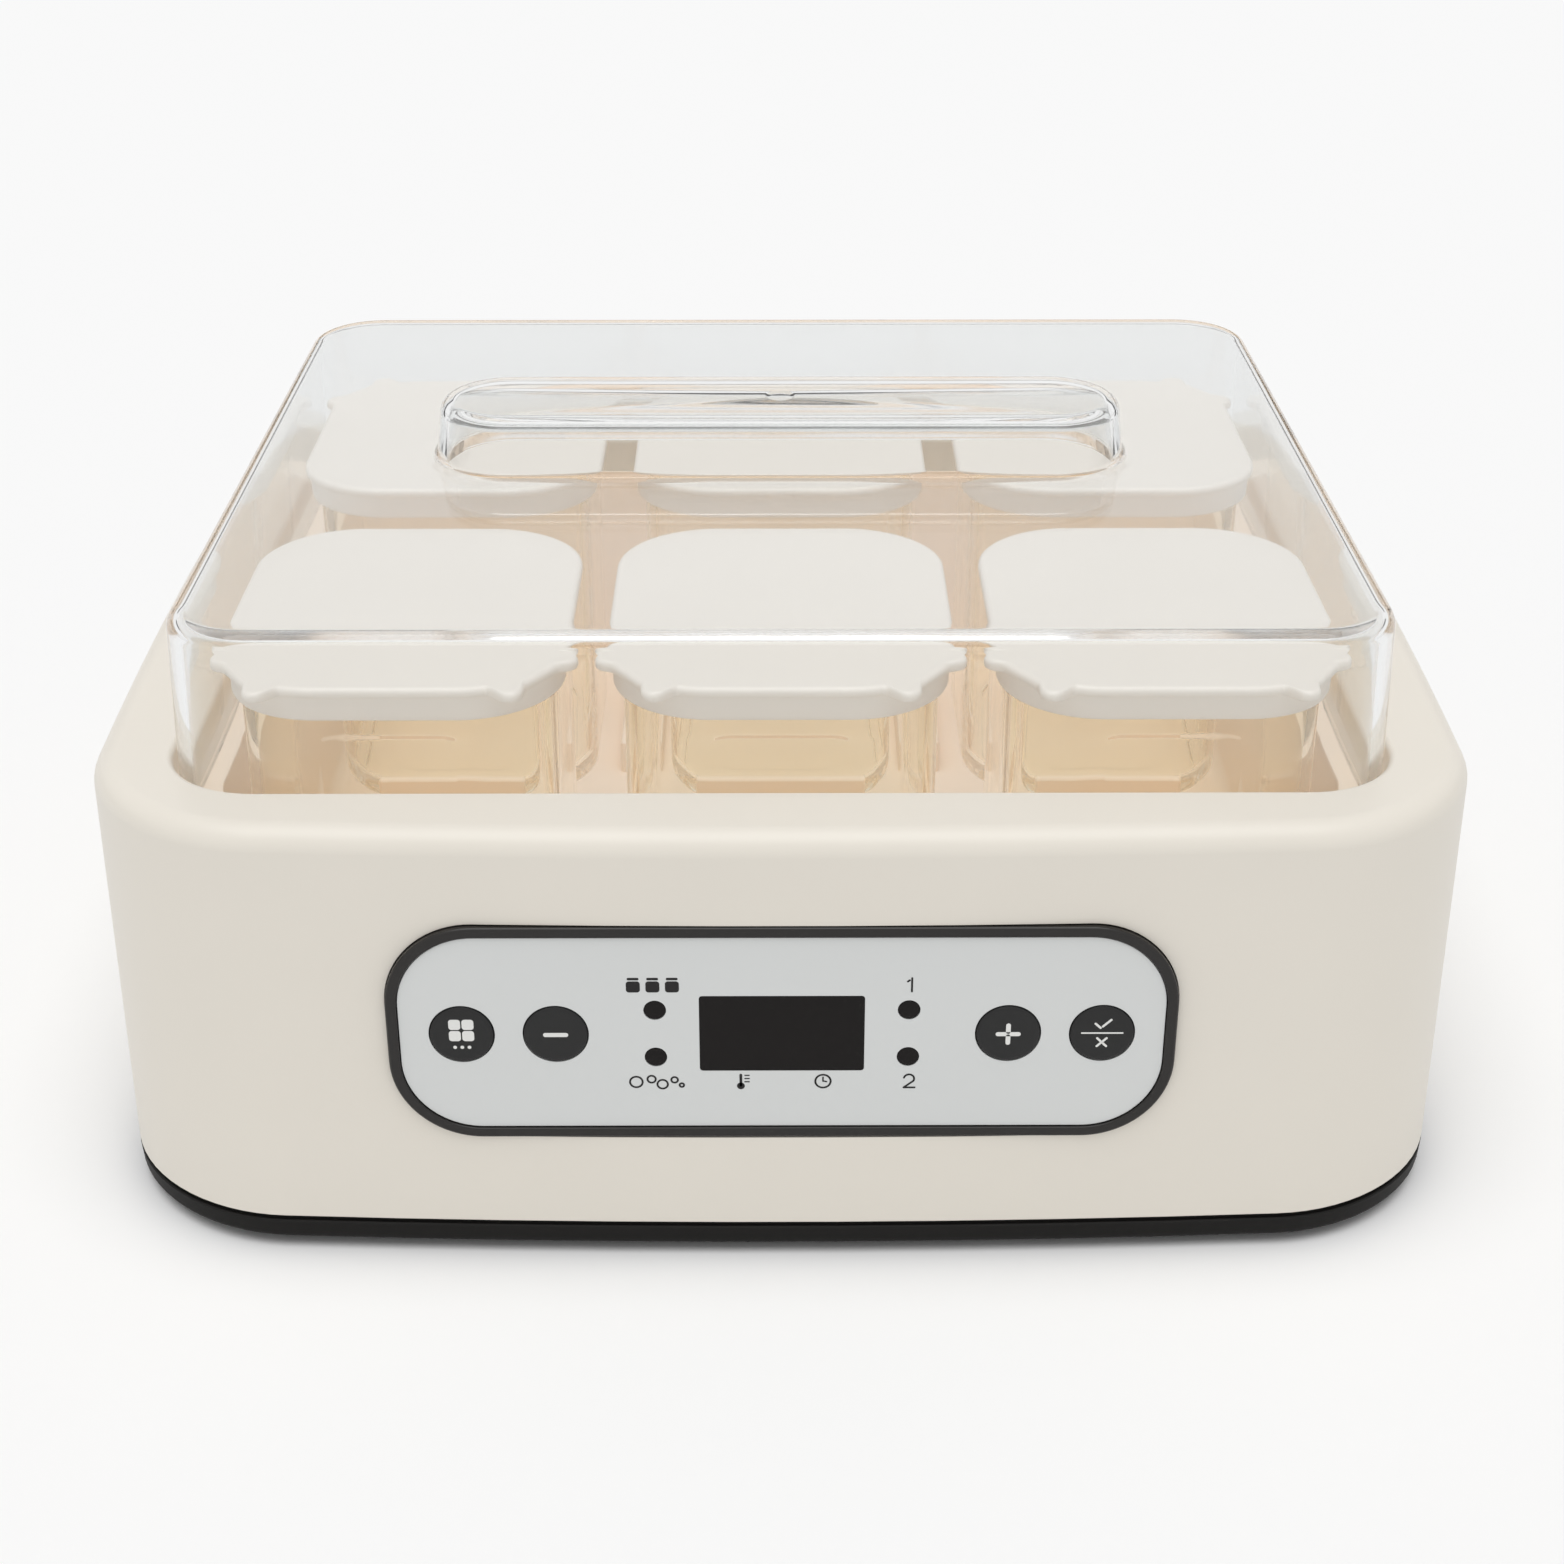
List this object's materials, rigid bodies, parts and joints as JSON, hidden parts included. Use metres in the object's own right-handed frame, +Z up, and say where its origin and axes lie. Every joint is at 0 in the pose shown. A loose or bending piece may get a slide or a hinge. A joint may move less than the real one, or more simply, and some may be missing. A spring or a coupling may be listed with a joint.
{
  "type": "yogurt maker",
  "caption": "Countertop yogurt maker: lidded glass jars stand in a warmed tub under a clear lift-off cover, with a push-button control panel in front.",
  "frame": {"origin": "on the surface the feet stand on, under the middle of the body", "axes": "+X to the right, -Y towards the control panel, +Z up"},
  "size_m": [0.26, 0.232, 0.1309],
  "materials": {
    "body_plastic": "cream moulded plastic with a fine satin finish",
    "tub_plastic": "warm beige moulded plastic",
    "base_plastic": "black moulded plastic with a fine texture",
    "foot_rubber": "black rubber",
    "screw_steel": "zinc plated steel",
    "panel_black": "black satin plastic",
    "label_sheet": "light grey printed sheet",
    "dark_window": "smoked clear plastic",
    "led_resin": "milky resin",
    "board_laminate": "green glass fibre laminate",
    "key_plastic": "black moulded plastic",
    "wire_sheath_grey": "light grey wire sheath",
    "plate_aluminium": "rolled aluminium sheet",
    "silicone_cord": "red brown silicone",
    "sensor_brass": "turned brass",
    "capacitor_sleeve": "shrunk dark blue sleeve",
    "relay_plastic": "blue moulded case",
    "connector_nylon": "natural nylon",
    "cover_clear": "clear polished plastic",
    "jar_glass": "clear pressed glass",
    "lid_plastic": "cream soft plastic with a satin finish"
  },
  "bodies": {
    "housing": {"outer_shell": "body_plastic", "inner_tub": "tub_plastic", "base_cover": "base_plastic", "rubber_feet": "foot_rubber", "base_screws": "screw_steel", "tub_screws": "screw_steel", "panel_bezel": "panel_black", "panel_label": "label_sheet", "display_window": "dark_window", "display_module": "dark_window", "indicator_lenses": "dark_window", "indicator_leds": "led_resin", "control_board": "board_laminate", "tact_switches": "key_plastic", "panel_screws": "screw_steel", "ribbon_cable": "wire_sheath_grey", "heat_plate": "plate_aluminium", "heating_cord": "silicone_cord", "cord_clips": "plate_aluminium", "temperature_sensor": "sensor_brass", "thermal_fuse": "led_resin", "power_board": "board_laminate", "power_screws": "screw_steel", "power_transformer": "key_plastic", "filter_capacitor": "capacitor_sleeve", "heater_relay": "relay_plastic", "wire_terminals": "connector_nylon", "board_headers": "connector_nylon", "power_inlet": "base_plastic", "inlet_pins": "screw_steel", "mains_wires": "wire_sheath_grey", "heater_wires": "silicone_cord", "sensor_wires": "key_plastic"},
    "cover": {"clear_cover": "cover_clear"},
    "key_mode": {"button_mode": "key_plastic"},
    "key_minus": {"button_minus": "key_plastic"},
    "key_plus": {"button_plus": "key_plastic"},
    "key_confirm": {"button_confirm": "key_plastic"},
    "jar_body_front_left": {"jar_front_left": "jar_glass"},
    "lid_body_front_left": {"lid_front_left": "lid_plastic"},
    "jar_body_front_middle": {"jar_front_middle": "jar_glass"},
    "lid_body_front_middle": {"lid_front_middle": "lid_plastic"},
    "jar_body_front_right": {"jar_front_right": "jar_glass"},
    "lid_body_front_right": {"lid_front_right": "lid_plastic"},
    "jar_body_back_left": {"jar_back_left": "jar_glass"},
    "lid_body_back_left": {"lid_back_left": "lid_plastic"},
    "jar_body_back_middle": {"jar_back_middle": "jar_glass"},
    "lid_body_back_middle": {"lid_back_middle": "lid_plastic"},
    "jar_body_back_right": {"jar_back_right": "jar_glass"},
    "lid_body_back_right": {"lid_back_right": "lid_plastic"}
  },
  "joints": [
    {"name": "cover_lift", "type": "slide", "parent": "housing", "child": "cover", "axis": [0, 0, 1], "range_m": [0, 0.14]},
    {"name": "mode_press", "type": "slide", "parent": "housing", "child": "key_mode", "axis": [0, 1, 0], "range_m": [0, 0.0006], "stiffness_N_per_m": 400, "springref_m": -0.0005},
    {"name": "minus_press", "type": "slide", "parent": "housing", "child": "key_minus", "axis": [0, 1, 0], "range_m": [0, 0.0006], "stiffness_N_per_m": 400, "springref_m": -0.0005},
    {"name": "plus_press", "type": "slide", "parent": "housing", "child": "key_plus", "axis": [0, 1, 0], "range_m": [0, 0.0006], "stiffness_N_per_m": 400, "springref_m": -0.0005},
    {"name": "confirm_press", "type": "slide", "parent": "housing", "child": "key_confirm", "axis": [0, 1, 0], "range_m": [0, 0.0006], "stiffness_N_per_m": 400, "springref_m": -0.0005},
    {"name": "jar_lift_front_left", "type": "slide", "parent": "housing", "child": "jar_body_front_left", "axis": [0, 0, 1], "range_m": [0, 0.005]},
    {"name": "lid_lift_front_left", "type": "slide", "parent": "jar_body_front_left", "child": "lid_body_front_left", "axis": [0, 0, 1], "range_m": [0, 0.004]},
    {"name": "jar_lift_front_middle", "type": "slide", "parent": "housing", "child": "jar_body_front_middle", "axis": [0, 0, 1], "range_m": [0, 0.005]},
    {"name": "lid_lift_front_middle", "type": "slide", "parent": "jar_body_front_middle", "child": "lid_body_front_middle", "axis": [0, 0, 1], "range_m": [0, 0.004]},
    {"name": "jar_lift_front_right", "type": "slide", "parent": "housing", "child": "jar_body_front_right", "axis": [0, 0, 1], "range_m": [0, 0.005]},
    {"name": "lid_lift_front_right", "type": "slide", "parent": "jar_body_front_right", "child": "lid_body_front_right", "axis": [0, 0, 1], "range_m": [0, 0.004]},
    {"name": "jar_lift_back_left", "type": "slide", "parent": "housing", "child": "jar_body_back_left", "axis": [0, 0, 1], "range_m": [0, 0.005]},
    {"name": "lid_lift_back_left", "type": "slide", "parent": "jar_body_back_left", "child": "lid_body_back_left", "axis": [0, 0, 1], "range_m": [0, 0.004]},
    {"name": "jar_lift_back_middle", "type": "slide", "parent": "housing", "child": "jar_body_back_middle", "axis": [0, 0, 1], "range_m": [0, 0.005]},
    {"name": "lid_lift_back_middle", "type": "slide", "parent": "jar_body_back_middle", "child": "lid_body_back_middle", "axis": [0, 0, 1], "range_m": [0, 0.004]},
    {"name": "jar_lift_back_right", "type": "slide", "parent": "housing", "child": "jar_body_back_right", "axis": [0, 0, 1], "range_m": [0, 0.005]},
    {"name": "lid_lift_back_right", "type": "slide", "parent": "jar_body_back_right", "child": "lid_body_back_right", "axis": [0, 0, 1], "range_m": [0, 0.004]}
  ]
}
